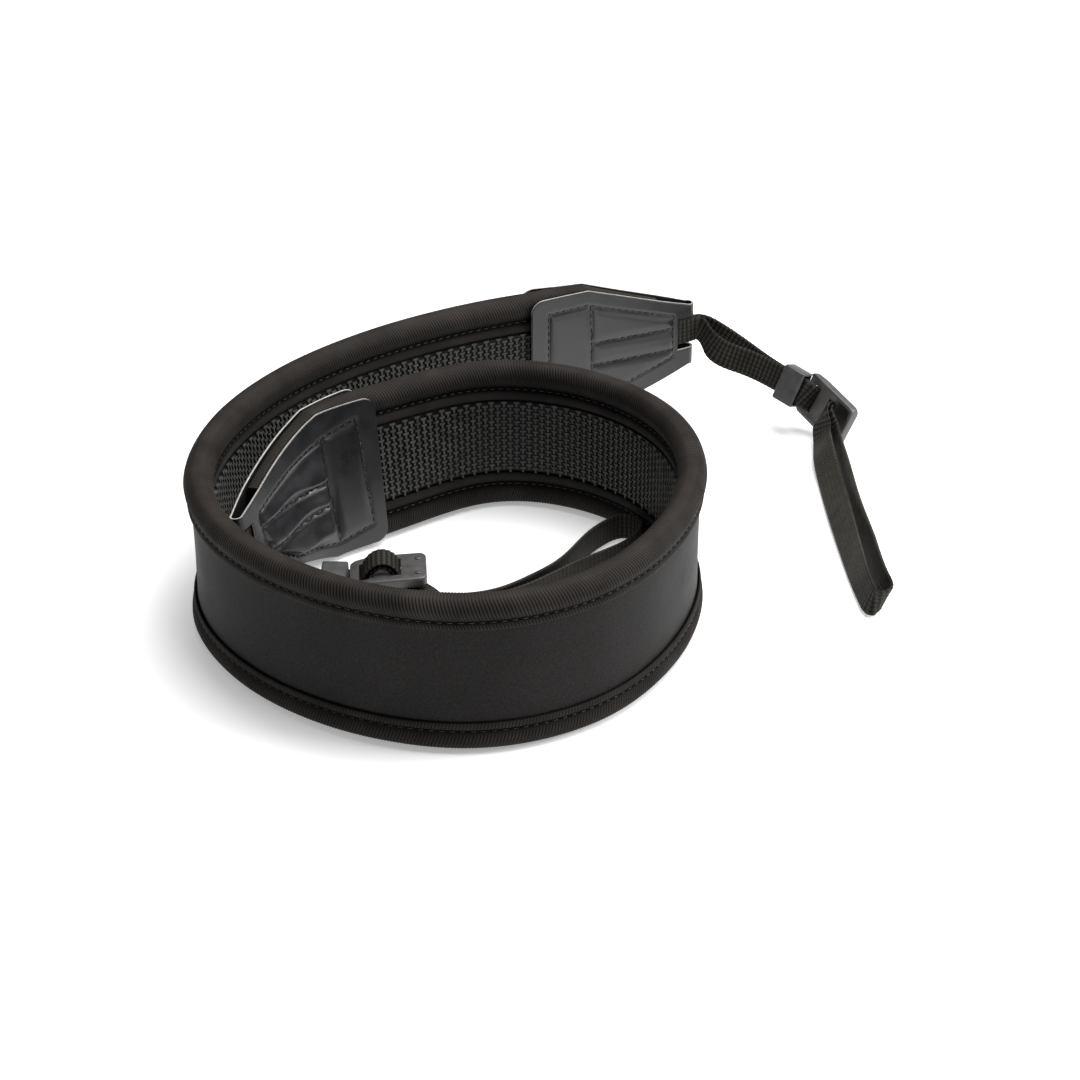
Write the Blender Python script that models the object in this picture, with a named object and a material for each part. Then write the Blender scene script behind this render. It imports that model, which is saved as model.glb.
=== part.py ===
"""Camera neck strap, coiled and standing on its long edge, in real size. Tables are in millimetres."""

import math

import bmesh
import bpy
import numpy as np
from mathutils import Matrix, Vector

MM = 0.001
FIT_GAP = 0.3

# The middle of the whole strap's outline on the floor, in the tables' own millimetres.
MIDDLE = (30.05, 32.6)

PAD_HEIGHT = 55.0
CORE_HALF = 3.0
FACE_HOLLOW = 0.3
ROLL_HALF = 5.0
ROLL_FLAT_HALF = 1.3
LIP_THICK = 0.9
LIP_TOP = 13.4
CORE_EDGE = 6.3
LINER_THICK = 0.8
LINER_EDGE = 14.0
STATION_STEP = 9.5

TAB_LENGTHS = {"outer": 65.0, "inner": 71.0}
TAB_TAPERS = {"outer": 42.0, "inner": 48.0}
TAB_HEIGHT = 53.6
TAB_TIP_HEIGHT = 25.0
TAB_MARGIN = 0.7
TAB_CORNER = 5.0
LEATHER = 1.1
SLOT_HEIGHT = 13.0
SLOT_MIDDLE = 28.5
SLOT_DEPTH = 5.0
PAD_START = 13.0
LINER_START = 57.0

WEBBING_WIDTH = 10.0
WEBBING_THICK = 1.2
STRAND_PITCH = 1.55
WEBBING_STEP = 3.4

SLIDER_LENGTH = 26.0
SLIDER_WIDTH = 17.0
SLIDER_THICK = 3.8
SLIDER_CORNER = 2.6
KEEPER_LENGTH = 9.0
KEEPER_SIZE = (13.8, 6.8)
KEEPER_HOLE = (11.8, 4.6)

# The pad's centre line in plan: from the outer tab's tip along the back, the left side, the front,
# the right side and the back again inside, to the inner tab's tip.
ROUTE = (
    # x, y
    (83.6, 146.4),
    (46.0, 130.5),
    (6.0, 115.0),
    (-31.0, 93.0),
    (-62.0, 62.0),
    (-79.5, 26.0),
    (-80.5, -16.0),
    (-61.0, -50.0),
    (-28.0, -73.0),
    (12.0, -80.0),
    (48.0, -64.0),
    (68.0, -37.0),
    (78.0, -3.0),
    (71.0, 36.0),
    (44.0, 63.0),
    (10.0, 69.0),
    (-18.5, 55.0),
    (-46.3, 33.7),
    (-68.8, -9.4),
)

# How the pad is squeezed inside a tab, by the distance from the tab's tip.
SQUEEZE = (
    # from tip, share of the full thickness, half the space between the leather's flaps
    (0.0, 0.25, 1.3),
    (6.0, 0.25, 1.9),
    (12.0, 0.25, 2.3),
    (30.0, 0.32, 2.5),
    (42.0, 0.42, 2.8),
    (52.0, 0.62, 3.6),
    (60.0, 0.82, 4.6),
    (65.0, 0.92, 5.1),
    (72.0, 1.0, 5.4),
)

# A strand pair's way through a slider: along its length and above its underside.
SLIDER_APPROACH = {
    "outer": ((-7.1, -0.7),),
    "inner": ((-10.6, -0.9), (-8.8, 0.4)),
}
SLIDER_PASS = (
    # along, above
    (-7.5, 2.8),
    (-5.9, 5.4),
    (-2.4, 7.3),
    (1.2, 6.0),
    (2.7, 2.8),
    (2.9, 0.2),
    (3.7, -1.9),
)

# What is cut from a slider's underside: two slots right through, a relief in the narrow end
# where the webbing passes, and a pocket under the wide end.
SLIDER_CUTS = (
    # name, from, to, depth, width
    ("near_slot", -10.8, -4.9, 7.0, 12.0),
    ("far_slot", 0.4, 5.4, 7.0, 12.0),
    ("relief", -14.0, -10.0, 1.6, 13.8),
    ("pocket", 4.5, 11.6, 2.2, 14.0),
)

# The raised centre bar that the webbing passes over: from, to, height above the underside, width.
SLIDER_BAR = (-4.3, -0.2, 5.3, 13.0)

# The plate's top slopes down to its narrow end: along and above, where the slope starts and ends.
SLIDER_SLOPE = ((-13.0, 1.7), (-4.0, 3.8))

END_NAMES = ("outer", "inner")

# The inner end leans back: degrees from upright, and where along the pad it stands upright again.
LEAN = 8.0
LEAN_FROM_TIP = (58.0, 140.0)

# Each slider and keeper: its centre, the way the strap runs and the way its width points.
SLIDERS = {
    # name: centre x, y, z; along x, y, z; across x, y, z
    "outer": ((133.0, 114.0, 12.0), (0.52, -0.83, -0.21), (0.38, 0.0, 0.925)),
    "inner": ((-22.6, 9.3, 5.0), (0.99, 0.06, 0.05), (-0.06, -1.0, 0.0)),
}
KEEPERS = {
    "outer": ((122.0, 122.2, 17.6), (0.73, -0.67, -0.16), (0.39, 0.16, 0.91)),
    "inner": ((-41.2, 9.9, 3.5), (0.99, -0.03, 0.0), (0.0, -1.0, 0.0)),
}

# Both strands inside a tab and through its slot: distance from the tip, distance apart.
SLOT_LEAD = ((12.0, 1.6), (6.0, 1.7), (0.0, 2.0), (-5.0, 2.3))

# Both strands between tab and keeper: middle, lean of the width from upright, distance apart,
# and how far the near strand sags below the other.
LEADS = {
    "outer": (
        # x, y, z, lean x, lean y, apart, sag
        (94.0, 144.6, 25.4, 0.1, 0.25, 6.4, 2.6),
        (105.6, 137.4, 20.8, 0.25, 0.3, 6.0, 1.6),
    ),
    "inner": (
        (-71.6, -20.0, 23.0, 0.0, 0.0, 2.0, 0.0),
        (-67.0, -26.4, 16.5, 0.0, -0.1, 2.0, 0.0),
        (-60.6, -24.0, 11.0, 0.0, -0.2, 2.0, 0.0),
        (-56.8, -14.6, 7.2, 0.2, -0.3, 2.0, 0.0),
        (-55.6, -4.0, 5.4, 0.4, -0.5, 1.9, 0.0),
        (-53.8, 5.0, 4.2, 0.4, -0.8, 1.7, 0.0),
        (-49.6, 9.6, 3.5, 0.1, -0.99, 1.6, 0.0),
    ),
}

# The lug loop: down one strand, round its end and back up the other.
LOOPS = {
    "outer": (
        # x, y, z, lean x, lean y
        (132.0, 105.0, 8.0, 0.5, 0.0),
        (131.6, 93.8, 6.2, 0.66, 0.0),
        (132.4, 81.2, 4.4, 0.75, 0.0),
        (133.7, 57.7, 4.2, 0.75, 0.0),
        (135.0, 33.0, 4.5, 0.61, 0.0),
        (136.5, 10.0, 4.9, 0.46, 0.0),
        (137.6, -1.0, 5.1, 0.4, 0.0),
        (140.2, -6.8, 5.1, 0.4, 0.0),
        (143.0, -5.2, 5.1, 0.4, 0.0),
        (143.9, 3.0, 5.2, 0.35, 0.0),
        (141.9, 26.0, 5.3, 0.3, 0.0),
        (139.6, 52.0, 5.3, 0.25, 0.0),
        (138.0, 80.0, 5.7, 0.25, 0.0),
        (137.0, 92.0, 6.3, 0.25, 0.0),
        (135.4, 103.0, 8.0, 0.3, 0.0),
    ),
    "inner": (
        (-16.6, 6.4, 1.4, -0.5, -0.866),
        (-11.6, -0.6, 2.6, -0.65, -0.7),
        (-4.0, -7.6, 4.5, -0.4, -0.5),
        (8.0, -10.1, 5.3, -0.1, -0.15),
        (26.0, -1.6, 5.2, 0.0, 0.0),
        (42.0, 12.4, 5.2, 0.0, 0.0),
        (55.0, 22.4, 5.2, 0.0, 0.0),
        (61.6, 30.4, 5.2, 0.0, 0.0),
        (63.0, 38.0, 5.2, 0.0, 0.0),
        (58.6, 42.0, 5.2, 0.0, 0.0),
        (50.6, 37.6, 5.2, 0.0, 0.0),
        (43.6, 28.0, 5.2, 0.0, 0.0),
        (35.0, 12.8, 5.2, 0.0, 0.0),
        (25.0, 2.4, 5.2, 0.0, 0.0),
        (9.4, -7.0, 5.3, -0.1, -0.15),
        (-2.2, -5.2, 5.3, -0.4, -0.5),
        (-9.6, 1.0, 4.3, -0.65, -0.7),
        (-15.4, 7.2, 2.95, -0.5, -0.866),
    ),
}


def material(name, color, roughness):
    made = bpy.data.materials.new(name)
    made.use_nodes = True
    shader = made.node_tree.nodes["Principled BSDF"]
    shader.inputs["Base Color"].default_value = (*color, 1.0)
    shader.inputs["Roughness"].default_value = roughness
    return made


def natural_spline(knots, rows, wanted):
    """Values of a natural cubic spline through rows, one at each knot, at the wanted places."""
    knots = np.asarray(knots, float)
    rows = np.asarray(rows, float)
    steps = np.diff(knots)
    slopes = np.diff(rows, axis=0) / steps[:, None]
    count = len(knots)
    system = np.eye(count)
    right = np.zeros_like(rows)
    for i in range(1, count - 1):
        system[i, i - 1] = steps[i - 1]
        system[i, i] = 2.0 * (steps[i - 1] + steps[i])
        system[i, i + 1] = steps[i]
        right[i] = 6.0 * (slopes[i] - slopes[i - 1])
    bend = np.linalg.solve(system, right)
    wanted = np.asarray(wanted, float)
    k = np.clip(np.searchsorted(knots, wanted, side="right") - 1, 0, count - 2)
    back = (wanted - knots[k])[:, None]
    ahead = (knots[k + 1] - wanted)[:, None]
    step = steps[k][:, None]
    return (
        bend[k] * ahead**3 / (6.0 * step)
        + bend[k + 1] * back**3 / (6.0 * step)
        + (rows[k] / step - bend[k] * step / 6.0) * ahead
        + (rows[k + 1] / step - bend[k + 1] * step / 6.0) * back
    )


def chord_knots(points):
    return np.concatenate([[0.0], np.cumsum(np.linalg.norm(np.diff(points, axis=0), axis=1))])


class Route:
    """The pad's centre line by its length, with the heading at each place."""

    def __init__(self, points):
        points = np.array(points, float)
        knots = chord_knots(points)
        fine = natural_spline(knots, points, np.linspace(0.0, knots[-1], 3000))
        self.at = chord_knots(fine)
        self.points = fine
        self.length = self.at[-1]

    def place(self, s):
        return np.array([np.interp(s, self.at, self.points[:, k]) for k in (0, 1)])

    def outward(self, s):
        """Unit vector away from the coil's middle: the right-hand side of the way along."""
        reach = 0.5
        ahead = self.place(min(s + reach, self.length))
        behind = self.place(max(s - reach, 0.0))
        way = (ahead - behind) / np.linalg.norm(ahead - behind)
        return np.array([way[1], -way[0]])

    def lean(self, s):
        near, far = LEAN_FROM_TIP
        share = min(max((far - (self.length - s)) / (far - near), 0.0), 1.0)
        return math.radians(LEAN) * share * share * (3.0 - 2.0 * share)

    def point(self, s, out, z, past=0.0):
        """A point beside the line, turned with the lean about half height, and past an end."""
        lean = self.lean(s)
        rise = z - PAD_HEIGHT / 2
        across = out * math.cos(lean) + rise * math.sin(lean)
        height = PAD_HEIGHT / 2 + rise * math.cos(lean) - out * math.sin(lean)
        away = self.outward(s)
        onward = np.array([-away[1], away[0]])
        x, y = self.place(s) + across * away + past * onward
        return Vector((x, y, height)) * MM


def squeeze_row(from_tip):
    rows = np.array(SQUEEZE)
    share = np.interp(from_tip, rows[:, 0], rows[:, 1])
    space = np.interp(from_tip, rows[:, 0], rows[:, 2])
    return share, space


def edges(from_tip, name, full, inset=0.0):
    """Lowest and highest edge of a tab or of the pad inside it, which taper to the tab's tip."""
    share = min(from_tip / TAB_TAPERS[name], 1.0)
    half = TAB_TIP_HEIGHT / 2 + (full - TAB_TIP_HEIGHT) / 2 * share - inset
    return PAD_HEIGHT / 2 - half, PAD_HEIGHT / 2 + half


def pad_section(route, s):
    """Lowest edge, highest edge and share of the full thickness at a station of the pad."""
    name = "outer" if s < route.length / 2 else "inner"
    from_tip = min(s, route.length - s)
    inset = TAB_MARGIN * (1.0 - min(max(from_tip / TAB_TAPERS[name] - 0.9, 0.0) / 0.25, 1.0))
    return *edges(from_tip, name, PAD_HEIGHT, inset), squeeze_row(from_tip)[0]


def stations(route, start):
    """Places along the pad: close together inside the tabs, even between them."""
    near = [s for s in (start, 20.0, 28.0, 36.0, 42.0, 48.0, 53.0, 57.0, 61.0, 66.0, 72.0) if s >= start]
    first, last = near[-1], route.length - near[-1]
    count = round((last - first) / STATION_STEP)
    middle = list(np.linspace(first, last, count + 1))[1:-1]
    return near + middle + [route.length - s for s in reversed(near)]


def loft(name, rings, look):
    """A closed solid through rings of equal size, with flat ends."""
    mesh = bpy.data.meshes.new(name)
    shape = bmesh.new()
    rows = [[shape.verts.new(point) for point in ring] for ring in rings]
    size = len(rows[0])
    for a, b in zip(rows, rows[1:]):
        for i in range(size):
            j = (i + 1) % size
            shape.faces.new((a[i], a[j], b[j], b[i]))
    shape.faces.new(rows[0])
    shape.faces.new(rows[-1])
    bmesh.ops.recalc_face_normals(shape, faces=shape.faces)
    shape.to_mesh(mesh)
    shape.free()
    made = bpy.data.objects.new(name, mesh)
    bpy.context.scene.collection.objects.link(made)
    mesh.materials.append(look)
    mesh.shade_smooth()
    mesh.set_sharp_from_angle(angle=math.radians(40))
    return made


def build_pad(route, look):
    """The foam band: flat faces, the outer one slightly hollow, its edges inside the bindings."""
    rings = []
    for s in stations(route, PAD_START):
        low, high, share = pad_section(route, s)
        half = CORE_HALF * share
        bottom, top = low + CORE_EDGE, high - CORE_EDGE
        heights = (bottom, bottom + (top - bottom) * 0.3, top - (top - bottom) * 0.3, top)
        hollow = (0.0, FACE_HOLLOW * share, FACE_HOLLOW * share, 0.0)
        outer = [route.point(s, half - h, z) for z, h in zip(heights, hollow)]
        inner = [route.point(s, -half, z) for z in reversed(heights)]
        rings.append(outer + inner)
    return loft("pad_core", rings, look)


def binding_profile(share):
    """Half of a binding's section: out from its middle, and up from its edge, by the squeeze."""
    slot = CORE_HALF * share + FIT_GAP
    lip = slot + LIP_THICK
    roll = max(ROLL_HALF * share, lip)
    groove = slot + 0.5 * LIP_THICK
    flat = ROLL_FLAT_HALF * min(share + 0.2, 1.0)
    return (
        (flat, 0.0),
        (roll * 0.74, 1.4),
        (roll, 3.6),
        (roll, 6.2),
        (groove, 8.7),
        (lip, 9.9),
        (lip, 12.6),
        (slot, LIP_TOP),
        (slot, CORE_EDGE - FIT_GAP),
    )


def build_binding(route, name, side, look):
    """A ribbed roll round one long edge of the pad, with a lip on each face."""
    rings = []
    for s in stations(route, PAD_START):
        low, high, share = pad_section(route, s)
        profile = binding_profile(share)
        edge = low if side < 0 else high
        outer = [route.point(s, out, edge - side * up) for out, up in profile]
        inner = [route.point(s, -out, edge - side * up) for out, up in reversed(profile)]
        rings.append(outer + inner)
    return loft(name, rings, look)


def build_liner(route, look):
    rings = []
    for s in stations(route, LINER_START):
        low, high, share = pad_section(route, s)
        near = -(CORE_HALF * share + FIT_GAP)
        far = near - LINER_THICK
        bottom, top = low + LINER_EDGE, high - LINER_EDGE
        rings.append([route.point(s, near, bottom), route.point(s, near, top),
                      route.point(s, far, top), route.point(s, far, bottom)])
    return loft("grip_liner", rings, look)


def tab_rings(route, name):
    """The leather from the outward flap's end, round the fold and back along the other flap."""
    length = TAB_LENGTHS[name]
    places = (0.0, 0.7, 2.4, TAB_CORNER, 11.0, 16.0, length - TAB_TAPERS[name])
    from_tips = [length - p for p in places] + [32.0, 22.0, 13.0, 8.0, 5.0, 2.2]

    def ring(from_tip, side, low, high, turn=0.0):
        s = from_tip if name == "outer" else route.length - from_tip
        beyond = -1.0 if name == "outer" else 1.0
        space = squeeze_row(from_tip)[1]
        corners = ((space, low), (space, high), (space + LEATHER, high), (space + LEATHER, low))
        return [
            route.point(s, side * reach * math.cos(turn), z, beyond * reach * math.sin(turn))
            for reach, z in corners
        ]

    def flap(side):
        rows = []
        for from_tip in from_tips:
            low, high = edges(from_tip, name, TAB_HEIGHT)
            to_end = length - from_tip
            if to_end < TAB_CORNER:
                cut = TAB_CORNER - math.sqrt(TAB_CORNER**2 - (TAB_CORNER - to_end) ** 2)
                low, high = low + cut, high - cut
            rows.append(ring(from_tip, side, low, high))
        return rows

    low, high = edges(0.0, name, TAB_HEIGHT)
    fold = []
    for turn in (0, 30, 60, 90, 60, 30, 0):
        side = 1.0 if len(fold) < 4 else -1.0
        fold.append(ring(0.0, side, low, high, math.radians(turn)))
    return flap(1.0) + fold + flap(-1.0)[::-1]


def box_at(name, centre, axes, sizes):
    """A box with its own axes, for a cutter or a plain block."""
    mesh = bpy.data.meshes.new(name)
    shape = bmesh.new()
    bmesh.ops.create_cube(shape, size=1.0)
    bmesh.ops.scale(shape, vec=Vector(sizes) * MM, verts=shape.verts)
    shape.to_mesh(mesh)
    shape.free()
    made = bpy.data.objects.new(name, mesh)
    turn = Matrix([Vector(axis) for axis in axes]).transposed().to_4x4()
    made.matrix_world = Matrix.Translation(Vector(centre) * MM) @ turn
    bpy.context.scene.collection.objects.link(made)
    return made


def cut(target, cutter, operation="DIFFERENCE"):
    cutter.hide_render = True
    cutter.display_type = "WIRE"
    modifier = target.modifiers.new(cutter.name, "BOOLEAN")
    modifier.operation = operation
    modifier.solver = "EXACT"
    modifier.object = cutter


def build_tab(route, name, look):
    made = loft(f"tab_{name}", tab_rings(route, name), look)
    s = 0.0 if name == "outer" else route.length
    centre = route.point(s, 0.0, SLOT_MIDDLE) / MM
    out = route.point(s, 1.0, SLOT_MIDDLE) / MM - centre
    up = route.point(s, 0.0, SLOT_MIDDLE + 1.0) / MM - centre
    slot = box_at(f"slot_{name}", centre, (out.cross(up), out, up), (2 * SLOT_DEPTH, 12.0, SLOT_HEIGHT))
    cut(made, slot)
    return made


def frame_of(along, across):
    """Unit vectors along, across and above, square to each other."""
    along = np.array(along, float) / np.linalg.norm(along)
    across = np.array(across, float)
    across = across - along * across.dot(along)
    across = across / np.linalg.norm(across)
    return along, across, np.cross(across, along)


def lead_rows(route, name, side):
    """One strand's rows from inside the tab to its slider's loop end."""
    rows = []
    inside = []
    for from_tip, apart in SLOT_LEAD:
        s = from_tip if name == "outer" else route.length - from_tip
        s = min(max(s, 0.0), route.length)
        past = min(from_tip, 0.0) if name == "outer" else max(-from_tip, 0.0)
        spot = route.point(s, 0.0, SLOT_MIDDLE, past) / MM
        above = route.point(s, 0.0, SLOT_MIDDLE + 1.0, past) / MM - spot
        inside.append((*spot, above.x, above.y, apart, 0.0))
    centre, along, across = KEEPERS[name]
    along, across, above = frame_of(along, across)
    half = KEEPER_LENGTH / 2
    offsets = (-half - 0.8, -half / 3, half / 3, half + 0.8)
    keeper = [(*(np.array(centre) + along * a), *across[:2], STRAND_PITCH, 0.0) for a in offsets]
    middles = np.array(inside + list(LEADS[name]) + keeper)
    for i, row in enumerate(middles):
        way = middles[min(i + 1, len(middles) - 1)][:3] - middles[max(i - 1, 0)][:3]
        width = np.array([row[3], row[4], math.sqrt(max(1.0 - row[3] ** 2 - row[4] ** 2, 0.0))])
        up = frame_of(way, width)[2]
        drop = np.array([0.0, 0.0, row[6] * side / 2])
        rows.append(np.concatenate([row[:3] + up * side * row[5] / 2 + drop, width]))
    centre, along, across = SLIDERS[name]
    along, across, above = frame_of(along, across)
    passing = np.array(SLIDER_APPROACH[name] + SLIDER_PASS)
    turns = np.gradient(passing, axis=0)
    turns = turns / np.linalg.norm(turns, axis=1, keepdims=True)
    for (a, t), (da, dt) in zip(passing, turns):
        a2 = a - dt * side * STRAND_PITCH / 2
        t2 = t + da * side * STRAND_PITCH / 2
        rows.append(np.concatenate([np.array(centre) + along * a2 + above * t2, across]))
    return rows


def build_webbing(route, name, look):
    """One ribbon: from the tab through keeper and slider, round the loop and back beside itself."""
    out = lead_rows(route, name, -1.0)
    back = lead_rows(route, name, 1.0)[::-1]
    loop = []
    for x, y, z, lean_x, lean_y in LOOPS[name]:
        upright = math.sqrt(max(1.0 - lean_x**2 - lean_y**2, 0.0))
        loop.append(np.array([x, y, z, lean_x, lean_y, upright]))
    rows = np.array(out + loop + back)
    knots = chord_knots(rows[:, :3])
    places = []
    for a, b in zip(knots, knots[1:]):
        count = max(1, math.ceil((b - a) / WEBBING_STEP))
        places += list(np.linspace(a, b, count + 1)[:-1])
    places.append(knots[-1])
    smooth = natural_spline(knots, rows, places)
    ways = np.gradient(smooth[:, :3], axis=0)
    rings = []
    for row, way in zip(smooth, ways):
        along, across, above = frame_of(way, row[3:])
        corners = ((-1, -1), (1, -1), (1, 1), (-1, 1))
        rings.append([
            Vector(row[:3] + across * a * WEBBING_WIDTH / 2 + above * b * WEBBING_THICK / 2) * MM
            for a, b in corners
        ])
    return loft(f"webbing_{name}", rings, look)


def build_keeper(name, look):
    centre, along, across = KEEPERS[name]
    axes = frame_of(along, across)
    axes = (axes[0], axes[2], axes[1])
    made = box_at(f"keeper_{name}", centre, axes, (KEEPER_LENGTH, *KEEPER_SIZE[::-1]))
    hole = box_at(f"hole_{name}", centre, axes, (KEEPER_LENGTH * 1.5, *KEEPER_HOLE[::-1]))
    bevel = made.modifiers.new("edges", "BEVEL")
    bevel.width = 0.4 * MM
    bevel.segments = 1
    cut(made, hole)
    made.data.materials.append(look)
    return made


def build_slider(name, look):
    """A plate with a slot on each side of its centre bar, the loop end wide and the other narrow."""
    centre, along, across = SLIDERS[name]
    along, across, above = frame_of(along, across)
    axes = (along, above, across)
    middle = np.array(centre) + above * SLIDER_THICK / 2
    made = box_at(f"slider_{name}", middle, axes, (SLIDER_LENGTH, SLIDER_THICK, SLIDER_WIDTH))
    made.data.materials.append(look)
    shape = bmesh.new()
    shape.from_mesh(made.data)
    upright = [e for e in shape.edges if abs((e.verts[0].co - e.verts[1].co).y) > SLIDER_THICK * MM / 2]
    bmesh.ops.bevel(shape, geom=upright, offset=SLIDER_CORNER * MM, segments=3, affect="EDGES", profile=0.5)
    shape.to_mesh(made.data)
    shape.free()
    bevel = made.modifiers.new("edges", "BEVEL")
    bevel.width = 0.6 * MM
    bevel.segments = 1
    bevel.limit_method = "ANGLE"
    bevel.angle_limit = math.radians(50)
    (a1, t1), (a2, t2) = SLIDER_SLOPE
    run = along * (a2 - a1) + above * (t2 - t1)
    run = run / np.linalg.norm(run)
    rise = np.cross(across, run)
    slab = 6.0
    spot = np.array(centre) + along * a2 + above * t2 - run * 10.0 + rise * slab / 2
    cut(made, box_at(f"slope_{name}", spot, (run, rise, across), (20.0, slab, SLIDER_WIDTH * 2)))
    low, high, top, width = SLIDER_BAR
    spot = np.array(centre) + along * (low + high) / 2 + above * (top + 1.0) / 2
    bar = box_at(f"bar_{name}", spot, axes, (high - low, top - 1.0, width))
    rounded = bar.modifiers.new("edges", "BEVEL")
    rounded.width = 0.7 * MM
    rounded.segments = 1
    cut(made, bar, "UNION")
    for key, low, high, depth, width in SLIDER_CUTS:
        spot = np.array(centre) + along * (low + high) / 2 + above * (depth - 1.0) / 2
        cut(made, box_at(f"{key}_{name}", spot, axes, (high - low, depth + 1.0, width)))
    return made


def main():
    for old in list(bpy.data.objects):
        bpy.data.objects.remove(old, do_unlink=True)
    foam = material("neoprene", (0.018, 0.016, 0.015), 0.75)
    tape = material("binding_tape", (0.02, 0.018, 0.017), 0.7)
    grip = material("grip_sheet", (0.015, 0.015, 0.015), 0.6)
    leather = material("tab_leather", (0.03, 0.03, 0.033), 0.4)
    web = material("webbing", (0.035, 0.034, 0.029), 0.8)
    plastic = material("slider_plastic", (0.03, 0.03, 0.03), 0.35)
    matte = material("keeper_plastic", (0.06, 0.06, 0.06), 0.6)
    route = Route(ROUTE)
    build_pad(route, foam)
    build_binding(route, "binding_bottom", -1, tape)
    build_binding(route, "binding_top", 1, tape)
    build_liner(route, grip)
    for name in END_NAMES:
        build_tab(route, name, leather)
        build_webbing(route, name, web)
        build_keeper(name, matte)
        build_slider(name, plastic)
    pieces = list(bpy.context.scene.collection.objects)
    frame = bpy.data.objects.new("strap_frame", None)
    bpy.context.scene.collection.objects.link(frame)
    frame.location = (-MIDDLE[0] * MM, -MIDDLE[1] * MM, 0.0)
    for piece in pieces:
        piece.parent = frame


main()
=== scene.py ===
"""Looks of the coiled camera neck strap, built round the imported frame. Tables are in millimetres."""

import math

import bmesh
import bpy
import numpy as np
from mathutils import Matrix, Vector


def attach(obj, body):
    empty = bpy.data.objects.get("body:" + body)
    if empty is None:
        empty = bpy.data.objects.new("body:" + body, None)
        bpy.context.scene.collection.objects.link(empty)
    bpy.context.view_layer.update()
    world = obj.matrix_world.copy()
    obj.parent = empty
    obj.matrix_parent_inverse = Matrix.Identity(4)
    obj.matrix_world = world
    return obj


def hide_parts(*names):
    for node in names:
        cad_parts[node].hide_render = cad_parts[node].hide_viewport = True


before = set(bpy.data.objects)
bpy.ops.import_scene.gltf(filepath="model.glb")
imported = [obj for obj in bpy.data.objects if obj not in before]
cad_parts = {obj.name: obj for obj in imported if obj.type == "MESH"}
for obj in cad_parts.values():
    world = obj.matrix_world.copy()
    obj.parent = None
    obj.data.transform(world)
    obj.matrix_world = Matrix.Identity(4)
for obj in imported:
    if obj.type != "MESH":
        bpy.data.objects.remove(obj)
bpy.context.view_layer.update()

# Millimetres to metres.
MM = 0.001
# The room between touching pieces, as in the solids.
FIT_GAP = 0.3
# The middle of the coil's outline on the floor, in the tables' own frame.
MIDDLE = np.array((30.05, 32.6, 0.0))

PAD_HEIGHT = 55.0
CORE_HALF = 3.0
FACE_HOLLOW = 0.3
CORE_EDGE = 6.3
ROLL_HALF = 5.0
LINER_EDGE = 14.0
LINER_BASE = 0.42
PAD_START = 13.0
LINER_START = 57.0
TAB_LENGTHS = {"outer": 65.0, "inner": 71.0}
TAB_TAPERS = {"outer": 42.0, "inner": 48.0}
TAB_HEIGHT = 53.6
TAB_TIP_HEIGHT = 25.0
TAB_MARGIN = 0.7
TAB_CORNER = 5.0
LEATHER = 1.1
SLOT_HEIGHT = 13.0
SLOT_MIDDLE = 28.5
SLOT_DEPTH = 5.0
WEBBING_WIDTH = 10.0
WEBBING_THICK = 1.2
STRAND_PITCH = 1.55
SLIDER_LENGTH = 26.0
SLIDER_WIDTH = 17.0
SLIDER_THICK = 3.8
SLIDER_CORNER = 2.6
KEEPER_LENGTH = 9.0
KEEPER_SIZE = (13.8, 6.8)
KEEPER_HOLE = (11.8, 4.6)
# The inner end leans back: degrees from upright, and where along the pad it stands upright again.
LEAN = 8.0
LEAN_FROM_TIP = (58.0, 140.0)

# The bindings' ribs, and how the tabs' flaps press the roll into a squarer shape.
RIB_PITCH = 1.03
RIB_DEPTH = 0.2
RIB_SLANT = 0.3
PRESSED_FROM_TIP = 64.0
PRESSED_GAP = 0.35
PRESSED_POWER = 2.2
# Stitches: pitch, then length, width and height of one.
BINDING_STITCH_PITCH = 3.1
BINDING_STITCH = (2.3, 0.45, 0.4)
TAB_STITCH_PITCH = 2.9
TAB_STITCH = (2.0, 0.5, 0.44)
TAB_STITCH_SUNK = 0.16

# The liner's raised pattern: a bar and a stem under it in each cell.
BLOCK_COLUMN = 2.43
BLOCK_ROW = 2.45
BLOCK_RISE = 0.55
BLOCK_SUNK = 0.05
BLOCK_TAPER = 0.14
BLOCKS = (
    # along, above, half length along, half length up
    (0.0, 0.6, 1.14, 0.44),
    (0.0, -0.45, 0.48, 0.84),
)

# The leather's edge: how far the face's end is rounded, the wall that shows, the rim's chamfer.
LEATHER_ROUND = 0.4
LEATHER_WALL = 0.8
RIM_MARGIN = 0.28
SEAM_DEPTH = 0.32
SEAM_HALF = 0.5

# The weave's rows and columns, and how deep its knuckles are.
WEAVE_ROW = 1.75
WEAVE_COLUMN = 1.65
WEAVE_DEEP = 0.26
WEAVE_EDGE_ROUND = 0.28

# The pips on a slider's wide end.
PIP_ALONG = 10.2
PIP_ACROSS = 4.6
PIP_RADIUS = 1.1
PIP_RISE = 0.4

# The photograph's view and the light, in metres, degrees and watts.
CAMERA_PLACE = (-0.00155, -0.8015, 0.4965)
CAMERA_TILT = 58.5
CAMERA_LENS = 90.8
FLOOR_REACH = 4.0
FLOOR_BELOW = 0.0004
FLOOR_GLOW = 0.32
SKY_GLOW = 0.24
LIGHTS = (
    # name, place, target, size, power
    ("top", (0.3, 0.2, 1.3), (0.0, 0.0, 0.0), (1.1, 0.9), 26.0),
    ("right", (1.2, 0.0, 0.75), (0.05, 0.0, 0.03), (0.8, 0.5), 15.0),
)

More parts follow.
